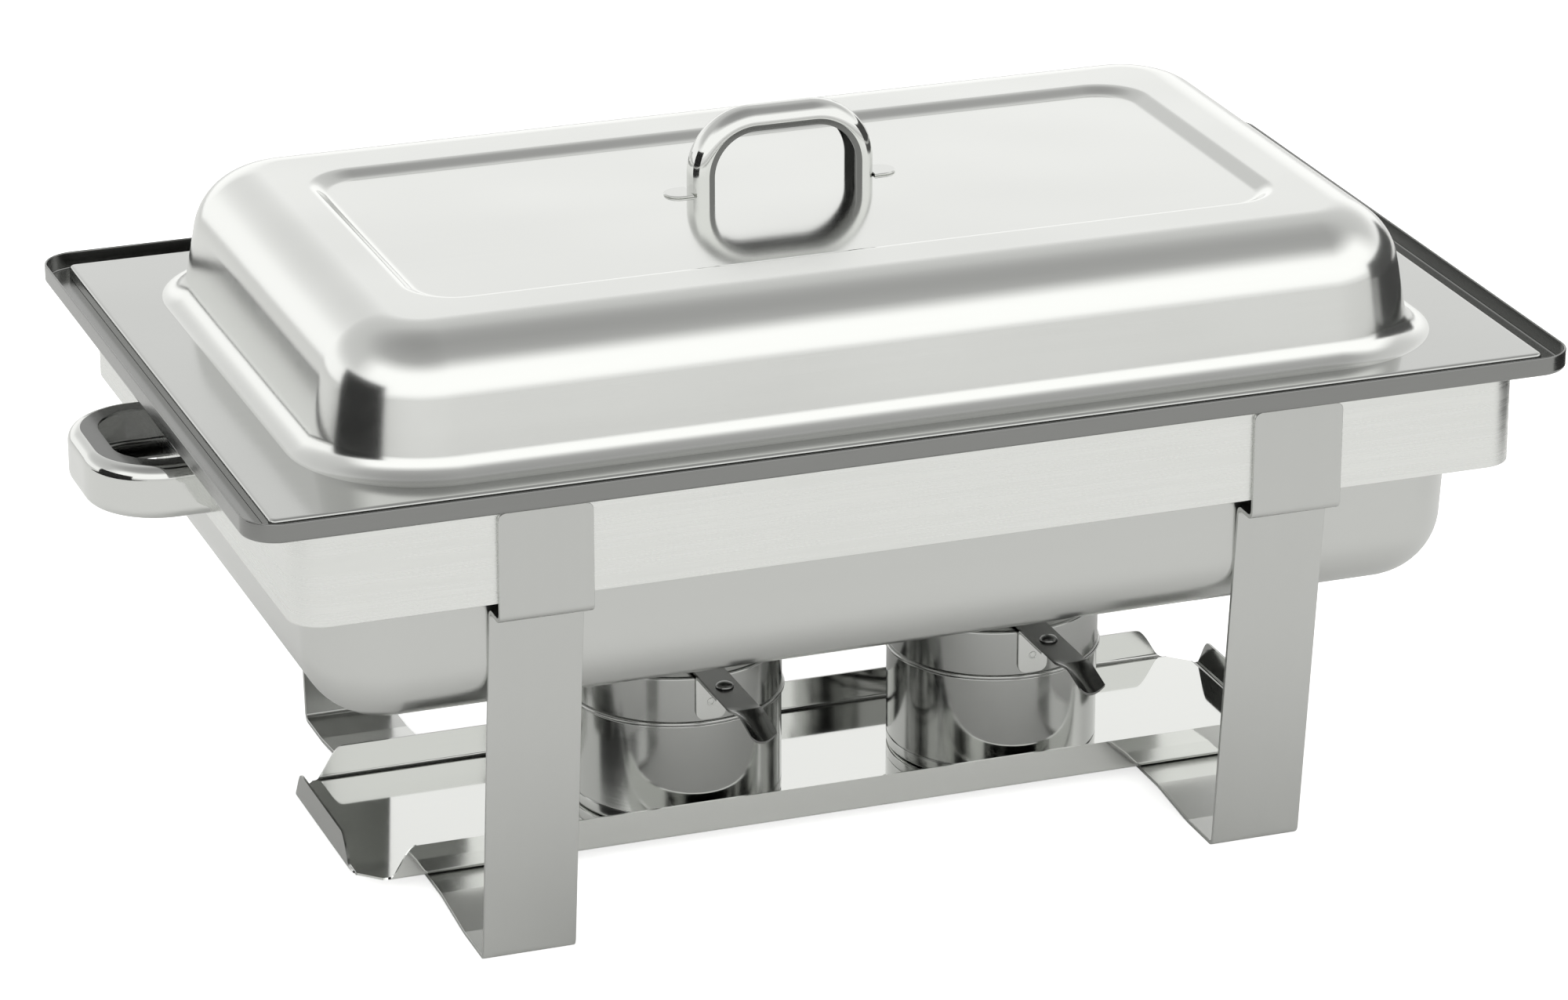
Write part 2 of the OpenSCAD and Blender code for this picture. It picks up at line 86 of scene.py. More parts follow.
# %% Turn grids of points into meshes
def grid_faces(rows, cols, wrap, start=0):
    """Quads between neighbouring rows and columns: (r, c), (r, c+1), (r+1, c+1), (r+1, c)."""
    r, c = np.meshgrid(np.arange(rows - 1), np.arange(cols if wrap else cols - 1), indexing="ij")
    nxt = (c + 1) % cols
    near, far = r * cols, (r + 1) * cols
    quads = np.stack([near + c, near + nxt, far + nxt, far + c], axis=-1)
    return (quads.reshape(-1, 4) + start).tolist()


class Shape:
    """A growing list of points, faces and each face's material number."""

    def __init__(self):
        self.points = []
        self.faces = []
        self.paint = []

    def add(self, grid, wrap=False, close=False, paint=0):
        """Adds a (rows, cols, 3) grid; close puts one flat face on the first and the last row."""
        grid = np.asarray(grid, float)
        rows, cols = grid.shape[:2]
        start = len(self.points)
        faces = grid_faces(rows, cols, wrap, start)
        if close:
            faces.append([start + i for i in range(cols)][::-1])
            faces.append([start + (rows - 1) * cols + i for i in range(cols)])
        self.points.extend(grid.reshape(-1, 3).tolist())
        self.faces.extend(faces)
        self.paint.extend([paint] * len(faces))
        return self

    def flat(self, outline, paint=0):
        """Adds one flat face through a ring of points."""
        start = len(self.points)
        self.points.extend(np.asarray(outline, float).tolist())
        self.faces.append(list(range(start, start + len(outline))))
        self.paint.append(paint)
        return self

    def build(self, name, body, slot, materials, sheet=0.0):
        """Makes the object with outward normals, riding on a body.

        An open sheet gets its thickness first. Normals are weighted by face area, so that a flat
        face stays flat up to its edge and only the bend beside it is shaded round.
        """
        mesh = bpy.data.meshes.new(name)
        mesh.from_pydata(self.points, [], self.faces)
        mesh.polygons.foreach_set("material_index", self.paint)
        for material in materials:
            mesh.materials.append(material)
        tidy_normals(mesh)
        piece = bpy.data.objects.new(name, mesh)
        bpy.context.scene.collection.objects.link(piece)
        if sheet:
            wall = piece.modifiers.new("sheet", "SOLIDIFY")
            wall.thickness, wall.offset = sheet, 0
            thick = piece.evaluated_get(bpy.context.evaluated_depsgraph_get())
            mesh = bpy.data.meshes.new_from_object(thick)
            mesh.name = name
            piece.modifiers.clear()
            piece.data = mesh
        mesh.shade_smooth()
        mesh.set_sharp_from_angle(angle=math.radians(SHARP_FROM))
        even = piece.modifiers.new("even_normals", "WEIGHTED_NORMAL")
        even.keep_sharp = True
        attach(piece, body)
        return piece


def tidy_normals(mesh):
    """Merges doubled points and turns the faces of every part outwards."""
    work = bmesh.new()
    work.from_mesh(mesh)
    bmesh.ops.remove_doubles(work, verts=work.verts, dist=MERGE)
    bmesh.ops.recalc_face_normals(work, faces=work.faces)
    work.to_mesh(mesh)
    work.free()


print("faces in a grid of 3 by 4 points", len(grid_faces(3, 4, wrap=False)))


# %% [markdown]
# ## Shader maths as Python
# A metal's look comes from small changes in roughness and in the lie of the surface. Those are sums
# and products of noise, so a socket is wrapped in a class whose operators add the Math nodes.


# %% Wrap sockets so that expressions build nodes
class Knot:
    """A socket of a material's node tree, or a number, that can be added and multiplied."""

    def __init__(self, tree, socket):
        self.tree = tree
        self.socket = socket

    def _math(self, kind, a, b):
        return Nodes(self.tree).make("ShaderNodeMath", {"operation": kind}, {0: a, 1: b})

    def __add__(self, other):
        return self._math("ADD", self, other)

    def __sub__(self, other):
        return self._math("SUBTRACT", self, other)

    def __mul__(self, other):
        return self._math("MULTIPLY", self, other)

    def __rsub__(self, other):
        return self._math("SUBTRACT", other, self)

    __radd__ = __add__
    __rmul__ = __mul__


class Nodes:
    """Adds nodes to one tree: a type, its settings, and the values or links of its sockets."""

    def __init__(self, tree):
        self.tree = tree

    def make(self, kind, settings=None, inputs=None, output=0):
        node = self.tree.nodes.new(kind)
        for name, value in (settings or {}).items():
            if name == "ramp":
                self._ramp(node.color_ramp, value)
            else:
                setattr(node, name, value)
        for name, value in (inputs or {}).items():
            if isinstance(value, Knot):
                self.tree.links.new(value.socket, node.inputs[name])
            else:
                node.inputs[name].default_value = value
        return Knot(self.tree, node.outputs[output])

    @staticmethod
    def _ramp(ramp, stops):
        ramp.elements.remove(ramp.elements[1])
        ramp.elements[0].position = stops[0][0]
        ramp.elements[0].color = stops[0][1]
        for place, colour in stops[1:]:
            ramp.elements.new(place).color = colour


print("reflected operators", [name for name in vars(Knot) if name.startswith("__r")])


# %% [markdown]
# ## Brushed and polished stainless
# Stainless sheet is never quite even. Its grain runs one way, its roughness drifts over a hand's
# width, fingers and cloths leave faint smears, and a pressed panel is very slightly wavy, which is
# what bends the reflections. The grain is noise stretched along one axis of the piece. One function
# makes all the finishes, because they differ only in how strong each of these is.


# %% The stainless finishes
ACROSS, ALONG = 1300.0, 22.0   # grain lines per metre across and along the grain
BROAD = 5                      # broad bands are this many times coarser than the lines
HAND, SLOW = 14.0, 7.0         # smears and slow waves per metre
LINE_DEPTH = 0.04 * MM         # depth of a grain line
DARKER = 1.2                   # how far the grain darkens the colour, for its strength


def stainless(name, colour, rough, fine_axes, grain, scratch, wave, smear=0.04, stretch=0.0):
    """Principled metal: roughness = rough + grain lines + smears; normal = grain over slow waves.

    The grain is fine along the axes named, and long along the others. grain is how much its lines
    change the roughness, scratch is their bump, wave is the height of the slow waves, and stretch
    is the shader's own anisotropy, which draws a reflection out across the grain.
    """
    material = bpy.data.materials.new(name)
    material.use_nodes = True
    tree = material.node_tree
    shader = tree.nodes["Principled BSDF"]
    n = Nodes(tree)
    place = n.make("ShaderNodeTexCoord", output="Object")

    def stretched(scale):
        return n.make("ShaderNodeMapping", {"vector_type": "POINT"}, {"Vector": place, "Scale": scale})

    def noise(at, scale, detail, roughness=0.5):
        inputs = {"Vector": at, "Scale": scale, "Detail": detail, "Roughness": roughness}
        return n.make("ShaderNodeTexNoise", None, inputs)

    fine = [ACROSS if axis in fine_axes else ALONG for axis in "XYZ"]
    lines = noise(stretched(fine), 1.0, 2.0, 0.6)
    bands = noise(stretched([value / BROAD for value in fine]), 1.0, 2.0)
    hand = noise(place, HAND, 3.0)
    slow = noise(place, SLOW, 1.0)
    roughness = rough + grain * (lines - 0.5) + grain * (bands - 0.5) + smear * (hand - 0.5)
    dull = [c * (1 - DARKER * grain) for c in colour]
    mixed = 0.45 * lines + 0.35 * bands + 0.2 * hand
    tint = n.make("ShaderNodeMix", {"data_type": "RGBA"},
                  {"Factor": mixed, "A": (*dull, 1), "B": (*colour, 1)}, output="Result")
    relief = scratch * lines + scratch * bands
    bump = n.make("ShaderNodeBump", None, {"Strength": 0.3, "Distance": LINE_DEPTH, "Height": relief})
    wavy = n.make("ShaderNodeBump", None,
                  {"Strength": 1.0, "Distance": wave, "Height": slow, "Normal": bump})
    for socket, value in (("Base Color", tint), ("Roughness", roughness), ("Normal", wavy)):
        tree.links.new(value.socket, shader.inputs[socket])
    shader.inputs["Metallic"].default_value = 1.0
    shader.inputs["Anisotropic"].default_value = stretch
    return material


def grey(level):
    """Stainless colour of a given lightness: its green is a touch above its blue."""
    return (level * 0.99, level, level * 0.975)


lid_metal = stainless("lid_satin", grey(0.76), 0.18, "YZ", 0.04, 0.25, 0.0012)
panel_metal = stainless("lid_panel", grey(0.74), 0.10, "YZ", 0.03, 0.15, 0.0008)
# The flange is the same sheet as the walls: its lower roughness is real, its darker grey is painted dark
# reflection.
flange_painted_reflection = stainless("lid_painted_flange_reflection", grey(0.56), 0.13, "YZ", 0.04, 0.2, 0.0005)
# The ledge and rim are the same sheet as the pan's body: their much darker grey is painted shade and dark
# reflection.
rim_painted_shade = stainless("pan_rim_painted_shade", grey(0.28), 0.18, "Z", 0.08, 0.4, 0.0004)
band_metal = stainless("band_brushed", grey(0.88), 0.27, "Z", 0.16, 0.9, 0.0003, stretch=0.6)
pan_metal = stainless("pan_satin", grey(0.62), 0.24, "Z", 0.05, 0.3, 0.0006)
strip_metal = stainless("strip_satin", grey(0.58), 0.24, "X", 0.06, 0.4, 0.0003)
handle_metal = stainless("handle_steel", grey(0.68), 0.08, "YZ", 0.02, 0.1, 0.0002, 0.02)
# The channel's arms and inside are near black: painted shade in the recess.
channel_painted_shade = stainless("handle_painted_inside_shade", grey(0.17), 0.14, "YZ", 0.05, 0.3, 0.0003, 0.05)
tray_metal = stainless("tray_steel", grey(0.92), 0.06, "YZ", 0.02, 0.1, 0.0002, 0.015)
# The flanges whose inner faces face the camera take this darker grey: painted shade and dark reflection.
tray_flange_painted_shade = stainless("tray_painted_flange_shade", grey(0.52), 0.10, "YZ", 0.03, 0.2, 0.0003, 0.02)
burner_metal = stainless("burner_steel", grey(0.44), 0.13, "Z", 0.04, 0.2, 0.0003, 0.02, 0.7)
lever_metal = stainless("lever_steel", grey(0.22), 0.22, "X", 0.06, 0.4, 0.0002)
print("finishes", len(bpy.data.materials))


# %% [markdown]
# ## Pressed shells
# The lid and both pans are pressed from sheet. Seen from above each level is a rectangle with round
# corners, so a shell is a stack of such rings: half length, half depth, corner radius and height.
# Bends between wall and floor are quarter arcs through the stack, with enough rings to reflect
# smoothly. Going up the outside and back down the inside gives the sheet its thickness.


# %% Rings, arcs and shells
HOLD = 1 * MM                  # flat row beside a bend, which keeps the flat part flat
HUB = 0.02                     # share of a ring's size at which its cover closes


def rings(sections, per_corner=18):
    """Ring points: corner centre plus radius at 90 degrees a corner, for every section at once."""
    s = np.asarray(sections, float)
    turn = np.linspace(0, np.pi / 2, per_corner + 1)
    angle = np.concatenate([turn + q * np.pi / 2 for q in range(4)])
    sx = np.repeat([1, -1, -1, 1], per_corner + 1)
    sy = np.repeat([1, 1, -1, -1], per_corner + 1)
    x = sx * (s[:, :1] - s[:, 2:3]) + s[:, 2:3] * np.cos(angle)
    y = sy * (s[:, 1:2] - s[:, 2:3]) + s[:, 2:3] * np.sin(angle)
    return np.stack([x, y, np.broadcast_to(s[:, 3:4], x.shape)], axis=-1)


def arc(centre, radius, first, last, steps=12):
    """Sections along an arc: the centre's grows by radius cos(a) and rises by radius sin(a)."""
    a = np.radians(np.linspace(first, last, steps + 1))[:, None]
    out = radius * np.cos(a)
    return np.asarray(centre, float) + np.hstack([out, out, out, radius * np.sin(a)])


def shift(section, inward, up=0.0):
    """The same section, pulled in by one distance and raised by another."""
    return np.asarray(section, float) + np.array([-inward, -inward, -inward, up])


def cover(shape, section, paint, cells=8):
    """A flat face over one ring: the ring shrunk to its middle in even steps, then closed."""
    shrink = np.linspace(1, HUB, cells)[:, None]
    grid = rings(np.asarray(section)[None])[0]
    middle = np.array([0, 0, grid[0, 2]])
    shape.add(middle + (grid[None] - middle) * shrink[..., None], wrap=True, paint=paint)
    centre = middle + (grid - middle) * HUB
    shape.add(np.stack([centre, np.broadcast_to(middle, centre.shape)]), wrap=True, paint=paint)


print("points in a ring", rings([[1, 1, 0.2, 0]]).shape[1])

# %% [markdown]
# ## The lid
# The lid has a lip, a flat polished flange, walls that lean in with a hollow bend at their foot, a
# wide rounded shoulder, and a sunk panel in its top with a finish of its own. Its rings come from
# the same bends as the CAD lid, but the panel's edge is a soft wave and not a straight slope.

# %% Build the lid's shell
LID_SHEET = 0.8 * MM
LIP_CORNER = 3 * MM
FLANGE_RISE = 5.2 * MM         # height of the flange over the lip's lower edge
FOLD = 1.5 * MM                # bend between the lip and the flange
DOME_INSET = (36 * MM, 20.8 * MM)     # from the lip to the foot of the walls, along X and Y
DOME_CORNER = 50 * MM
HOLLOW = 11 * MM               # bend between the flange and the wall
SHOULDER = 30 * MM             # bend between the wall and the top
LEAN = 10                      # degrees that the walls lean in
PANEL_INSET = (49.5 * MM, 55.5 * MM)  # from the foot of the walls to the panel, along X and Y
PANEL_CORNER = 24 * MM
PANEL_SLOPE = 8 * MM           # width of the soft edge of the sunk panel
PANEL_SINK = 3 * MM
PANEL_ROUND = 0.8              # how much of the slope the panel's corner radius loses

lid_low, lid_high = span("lid_shell")
lid_l, lid_w = lid_high[0], lid_high[1]
lip_z, lid_z = lid_low[2], lid_high[2]
flange_z = lip_z + FLANGE_RISE
dome_l, dome_w = lid_l - DOME_INSET[0], lid_w - DOME_INSET[1]


def lid_skin(sheet):
    """Sections from the lip to the middle of the panel, a given depth into the sheet."""
    turn = 90 - LEAN
    lean = math.radians(LEAN)
    reach = HOLLOW * math.tan(math.radians(turn / 2))
    rise = lid_z - flange_z - SHOULDER + SHOULDER * math.sin(lean)
    neck = -rise * math.tan(lean) - SHOULDER * math.cos(lean)
    lip = shift([lid_l, lid_w, LIP_CORNER, lip_z], sheet)
    fold = arc([lid_l - FOLD, lid_w - FOLD, LIP_CORNER - FOLD, flange_z - FOLD], FOLD - sheet, 0, 90, 6)
    foot = [dome_l + reach, dome_w + reach, DOME_CORNER + reach, flange_z + HOLLOW]
    hollow = arc(foot, HOLLOW + sheet, -90, -90 - turn, 14)
    top_of_wall = [dome_l + neck, dome_w + neck, DOME_CORNER + neck, lid_z - SHOULDER]
    shoulder = arc(top_of_wall, SHOULDER - sheet, LEAN, 90, 22)
    panel = np.array([dome_l - PANEL_INSET[0], dome_w - PANEL_INSET[1], PANEL_CORNER, lid_z - sheet])
    t = np.linspace(0, 1, 13)[:, None]
    edge = panel + np.hstack([-t, -t, -PANEL_ROUND * t, np.zeros_like(t)]) * PANEL_SLOPE
    edge[:, 3:] -= PANEL_SINK * (1 - np.cos(np.pi * t)) / 2
    outer = [lip[None], fold, shift(fold[-1], HOLD)[None], shift(hollow[0], -HOLD)[None], hollow]
    top = [shoulder, shift(shoulder[-1], HOLD)[None], shift(panel, -HOLD)[None], edge]
    inner = [shift(edge[-1], HOLD)[None]]
    return outer, top, inner


def paint_levels(shape, sections, paint):
    """Adds consecutive rings as one band of the shell with one material."""
    shape.add(rings(np.concatenate(sections)), wrap=True, paint=paint)


WALL, PANEL, FLANGE = 0, 1, 2  # numbers of the lid's three finishes
lid_shape = Shape()
outer, top, inner = lid_skin(0.0)
# The lip and flange take the darker grey, which is painted dark reflection.
paint_levels(lid_shape, outer[:4] + [outer[4][:1]], FLANGE)
paint_levels(lid_shape, [outer[4]] + top[:3] + [top[3][:1]], WALL)
paint_levels(lid_shape, [top[3]] + inner, PANEL)
under = lid_skin(LID_SHEET)
under_rings = np.concatenate(under[0] + under[1] + under[2])
lid_shape.add(rings(np.stack([under_rings[0], outer[0][0]])), wrap=True)
lid_shape.add(rings(under_rings[::-1]), wrap=True)
cover(lid_shape, inner[0][0], PANEL)
cover(lid_shape, under[2][0][0], WALL)
lid = lid_shape.build("lid", "lid", "satin_steel", [lid_metal, panel_metal, flange_painted_reflection])
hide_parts("lid_shell")
print("lid", len(lid.data.polygons), "faces")

# %% [markdown]
# ## The pans
# The water pan hangs in the band by its ledge, and its rim stands up around the lid. The food pan
# is a standard container whose flange laps over that ledge. Both are the same stack of rings:
# floor, wide bend, wall, ledge or flange, and an edge.


# %% Build the water pan
def pan_wall(half, corner, draft, bend, bottom, top, sheet):
    """Sections from the floor's edge through the bend and up a wall that opens by the draft."""
    base = [half[0] - draft - bend, half[1] - draft - bend, corner - draft - bend, bottom + bend]
    curve = arc(base, bend - sheet, -90, 0, 14)
    end = np.array([half[0] - sheet, half[1] - sheet, corner - sheet, top])
    t = np.linspace(0, 1, 6)[1:, None]
    return np.concatenate([shift(curve[0], HOLD)[None], curve, curve[-1] * (1 - t) + end * t])


WATER_SHEET = 1 * MM
BODY_HALF = (262.5 * MM, 154 * MM)    # half length and half depth of the body at the ledge
BODY = (40 * MM, 4 * MM, 31 * MM)     # its corner radius, its draft, and its bend at the floor
RIM_RISE = 8.6 * MM            # height of the rim over the ledge
RIM_FOLD = 1.8 * MM            # bend between the ledge and the rim
RIM_CORNER = 16 * MM
water_low, water_high = span("water_pan")
ledge_z = water_high[2] - RIM_RISE
water_outer = pan_wall(BODY_HALF, *BODY, water_low[2], ledge_z, 0)
water_inner = pan_wall(BODY_HALF, *BODY, water_low[2], ledge_z + WATER_SHEET, WATER_SHEET)
rim = np.array([water_high[0], water_high[1], RIM_CORNER, 0])
rim_centre = shift(rim, RIM_FOLD, ledge_z + RIM_FOLD)
rim_outer = arc(rim_centre, RIM_FOLD, -90, 0, 8)
rim_inner = arc(rim_centre, RIM_FOLD - WATER_SHEET, -90, 0, 6)
crown_centre = shift(rim, WATER_SHEET / 2, water_high[2] - WATER_SHEET / 2)
crown = arc(crown_centre, WATER_SHEET / 2, 0, 180, 6)
ledge = [water_outer[-1:], rim_outer, crown, rim_inner[::-1], water_inner[-1:]]

water_shape = Shape()
water_shape.add(rings(water_outer), wrap=True)
# The ledge and rim take the darker grey, which is painted shade and dark reflection.
water_shape.add(rings(np.concatenate(ledge)), wrap=True, paint=1)
water_shape.add(rings(water_inner[::-1]), wrap=True)
cover(water_shape, water_outer[0], 0)
cover(water_shape, water_inner[0], 0)
water_pan = water_shape.build("water_pan_skin", "water_pan", "satin_steel", [pan_metal, rim_painted_shade])
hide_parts("water_pan")
print("water pan", len(water_pan.data.polygons), "faces")

# %% [markdown]
# The food pan's flange ends in a small lip turned down, so its ring of sections goes up the
# outside, round the lip and back down the inside.

# %% Build the food pan
FOOD_SHEET = 0.9 * MM
FOOD_INSET = (14 * MM, 14.5 * MM)     # from the flange's edge to the wall, along X and Y
FOOD = (37 * MM, 6 * MM, 18 * MM)     # its corner radius, its draft, and its bend at the floor
FOOD_FOLD = 1.5 * MM           # bend between the flange and its lip
FOOD_CORNER = 20 * MM          # corner radius of the flange
FOOD_LIP = 3.2 * MM            # height of the lip
food_low, food_high = span("food_pan")
food_half = (food_high[0] - FOOD_INSET[0], food_high[1] - FOOD_INSET[1])
food_outer = pan_wall(food_half, *FOOD, food_low[2], food_high[2] - FOOD_SHEET, 0)
food_inner = pan_wall(food_half, *FOOD, food_low[2], food_high[2], FOOD_SHEET)
lip_outer = np.array([food_high[0], food_high[1], FOOD_CORNER, food_high[2] - FOOD_LIP])
lip_inner = shift(lip_outer, FOOD_SHEET)
fold_centre = shift(lip_outer, FOOD_FOLD, FOOD_LIP - FOOD_FOLD)
food_rings = [food_outer, arc(fold_centre, FOOD_FOLD - FOOD_SHEET, 90, 0, 5),
              [lip_inner, lip_outer], arc(fold_centre, FOOD_FOLD, 0, 90, 8), food_inner[::-1]]
food_shape = Shape()
food_shape.add(rings(np.concatenate(food_rings)), wrap=True)
cover(food_shape, food_outer[0], 0)
cover(food_shape, food_inner[0], 0)
food_pan = food_shape.build("food_pan_skin", "food_pan", "satin_steel", [pan_metal])
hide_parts("food_pan")
print("food pan", len(food_pan.data.polygons), "faces")

# %% [markdown]
# ## The stand's band
# A strip of brushed sheet runs round the pans with its edges broken by a file. It is a small
# section with rounded corners carried round a rectangle, which is a stack of rings again.

# %% Build the band
BAND_SHEET = 1.2 * MM
BAND_CORNER = 15 * MM
EDGE = 0.35 * MM               # radius of the band's filed edges
band_low, band_high = span("stand_band")


def band_section(low, high, half, corner, sheet):
    """Sections down the outside and up the inside, with a small arc at each of the four edges."""
    outside = np.array([half[0], half[1], corner, 0])
    stack = []
    for inset, z, first in ((EDGE, high - EDGE, 90), (EDGE, low + EDGE, 0),
                            (sheet - EDGE, low + EDGE, -90), (sheet - EDGE, high - EDGE, 180)):
        stack.append(arc(shift(outside, inset, z), EDGE, first, first - 90, 4))
    return np.concatenate(stack + [stack[0][:1]])


band_sections = band_section(band_low[2], band_high[2], band_high[:2], BAND_CORNER, BAND_SHEET)
band_shape = Shape()
band_shape.add(rings(band_sections), wrap=True)
band = band_shape.build("band", "stand", "satin_steel", [band_metal])
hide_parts("stand_band")
print("band", len(band.data.polygons), "faces")

# %% [markdown]
# ## Strips carried along a path
# Legs, levers, brackets and handles are all sections carried along a path. The path's corners are
# turned into arcs, and at each point the section stands square to the path. A section for plain
# strip is a thin rectangle with rounded edges; a handle's is a channel.

# %% Paths, frames and sweeps
FILED = 0.3 * MM               # radius of a filed edge on strip and tabs
ONTO = 0.1 * MM                # slack for telling which points lie on a flat


def soften(points, radius, steps=10):
    """Replaces each inner corner by an arc: start where the arc touches, turn about its centre."""
    p = np.asarray(points, float)
    out = [p[:1]]
    for before, corner, after in zip(p[:-2], p[1:-1], p[2:]):
        u = (before - corner) / np.linalg.norm(before - corner)
        v = (after - corner) / np.linalg.norm(after - corner)
        half = math.acos(float(np.clip(u @ v, -1, 1))) / 2
        middle = corner + (u + v) / np.linalg.norm(u + v) * radius / math.sin(half)
        start = corner + u * radius / math.tan(half) - middle
        end = corner + v * radius / math.tan(half) - middle
        sweep = math.pi - 2 * half
        t = np.linspace(0, 1, steps + 1)[:, None]
        turned = np.sin((1 - t) * sweep) * start + np.sin(t * sweep) * end
        out.append(middle + turned / math.sin(sweep))
    return np.concatenate(out + [p[-1:]])


def refine(points, longest):
    """Splits long straight stretches so that no step is longer than the given length."""
    p = np.asarray(points, float)
    out = []
    for a, b in zip(p[:-1], p[1:]):
        n = max(1, math.ceil(np.linalg.norm(b - a) / longest))
        out.append(a + (b - a) * np.linspace(0, 1, n, endpoint=False)[:, None])
    return np.concatenate(out + [p[-1:]])


def upright(line, x):
    """Points (y, z) of a flat line as a path in the upright plane at x."""
    return np.stack([np.full(len(line), x), line[:, 0], line[:, 1]], axis=1)


def sweep(path, across, section):
    """Grid of a section carried along a path: point = path + s * across + t * normal.

    The normal is the path's direction turned square to the across vector. section is (m, 2), or
    (k, m, 2) where it changes along the way. Corners of the path keep the strip's thickness.
    """
    path = np.asarray(path, float)
    across = np.asarray(across, float)
    step = np.diff(path, axis=0)
    step /= np.linalg.norm(step, axis=1, keepdims=True)
    ahead = np.concatenate([step, step[-1:]])
    behind = np.concatenate([step[:1], step])
    normal = np.cross(across, ahead + behind)
    normal /= np.linalg.norm(normal, axis=1, keepdims=True)
    stretch = 1 / np.clip(np.einsum("ij,ij->i", normal, np.cross(across, ahead)), 0.5, 1)
    section = np.broadcast_to(section, (len(path),) + np.shape(section)[-2:])
    return (path[:, None] + section[..., :1] * across
            + section[..., 1:] * (normal * stretch[:, None])[:, None])


def strip_section(width, thick):
    """A thin rectangle with a small arc at each corner, as (m, 2) points round it."""
    a = np.radians([0, 30, 60, 90])
    corners = []
    for sx, sy, first in ((1, 1, 0), (-1, 1, 90), (-1, -1, 180), (1, -1, 270)):
        turn = a + math.radians(first)
        centre = np.array([sx * (width / 2 - FILED), sy * (thick / 2 - FILED)])
        corners.append(centre + FILED * np.stack([np.cos(turn), np.sin(turn)], axis=1))
    return np.concatenate(corners)


def round_end(width, thick, depth, corner, at_end):
    """Strip sections that narrow towards an end with two round corners, one for each point.

    A point at a depth from the end loses corner - sqrt(corner^2 - (corner - depth)^2) a side.
    """
    depth = np.minimum(depth, corner)
    cut = np.where(at_end, corner - np.sqrt(corner**2 - (corner - depth) ** 2), 0)
    widths = 1 - cut / (width / 2)
    scale = np.stack([widths, np.ones_like(widths)], axis=1)
    return strip_section(width, thick)[None] * scale[:, None]


print("points round a strip", len(strip_section(20 * MM, 2 * MM)))

# %% [markdown]
# ## The leg strips
# Each leg pair is one strip: plate, step under the band, leg, foot, raised middle, and the same up
# the back. The plate's two top corners are rounded by narrowing the last few millimetres.

# %% Build both leg strips
STRIP = 2 * MM
STRIP_BEND = 3.5 * MM
PLATE_CORNER = 3 * MM
PLATE_Z = 166 * MM             # height of the step under the plates
STEP_IN = 16.07 * MM           # from a plate's outer face to its leg's inner face at the step
LEAN_IN = 17.4 * MM            # how far a leg leans in on its way down
RISE_FROM, RISE_TO = 26 * MM, 60 * MM  # from the foot's corner to the slope of the raised middle
RISE = 3.4 * MM                # height of the raised middle
LEG_STEP = 12 * MM             # longest stretch between two sections


def leg_strip(node, name):
    """One strip from plate to plate, with rows close together at both rounded ends."""
    low, high = span(node)
    h = STRIP / 2
    width = high[0] - low[0]
    plate_y = high[1] - h
    step_z = PLATE_Z + h
    step_y = high[1] - STEP_IN + h
    foot_y = step_y - LEAN_IN
    half = [(plate_y, high[2]), (plate_y, step_z), (step_y, step_z), (foot_y, h),
            (foot_y - RISE_FROM, h), (foot_y - RISE_TO, RISE + h)]
    front = [(-y, z) for y, z in half]
    line = refine(soften(front + half[::-1], STRIP_BEND), LEG_STEP)
    rounding = np.array([0.02, 0.3, 0.8, 1.5, 2.2, 3.0]) * MM
    ends = np.concatenate([[line[0, 1]], line[0, 1] - rounding])
    head = np.stack([np.full(len(ends), line[0, 0]), ends], axis=1)
    tail = head[::-1] * [-1, 1]
    line = np.concatenate([head, line[1:-1], tail])
    on_plate = np.abs(line[:, 0]) > plate_y - ONTO
    sections = round_end(width, STRIP, np.abs(high[2] - line[:, 1]), PLATE_CORNER, on_plate)
    path = upright(line, (low[0] + high[0]) / 2)
    shape = Shape().add(sweep(path, (1, 0, 0), sections), wrap=True, close=True)
    piece = shape.build(name, "stand", "satin_steel", [strip_metal])
    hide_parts(node)
    return piece


legs = [leg_strip(f"leg_strip_{side}", f"leg_{side}") for side in ("left", "right")]
print("legs", [len(leg.data.polygons) for leg in legs], "faces")

# %% [markdown]
# ## The handles
# All three handles are bows of bright channel, welded down by flat tabs. The channel's crown is
# flat between two round corners, its arms and inside are painted darker as shade, and the bow's
# bends are wide.

# %% Build the handles
HANDLE_SHEET = 1 * MM
HANDLE_STEP = 4 * MM           # longest stretch between two sections
TAB_WIDTH = 13 * MM
TAB_LAP = 0.5 * MM             # how far a tab starts inside the bow's leg


def channel(width, depth, corner):
    """Two open outlines: the polished crown with its corners, and the arms and inside with painted shade.
    """
    def half_round(inset):
        r = corner - inset
        turn = np.linspace(0, np.pi / 2, 9)
        arm = np.stack([width / 2 - corner + r * np.cos(turn), depth - corner + r * np.sin(turn)], axis=1)
        foot = np.array([[width / 2 - inset, 0.0]])
        right = np.concatenate([foot, arm])
        left = right[::-1] * [-1, 1]
        along = np.linspace(1, -1, 9)[1:-1] * (width / 2 - corner)
        crown = np.stack([along, np.full(len(along), depth - inset)], axis=1)
        return np.concatenate([right, crown, left])
    outside, inside = half_round(0), half_round(HANDLE_SHEET)
    return outside[1:-1], np.concatenate([outside[-2:], inside[::-1], outside[:2]])


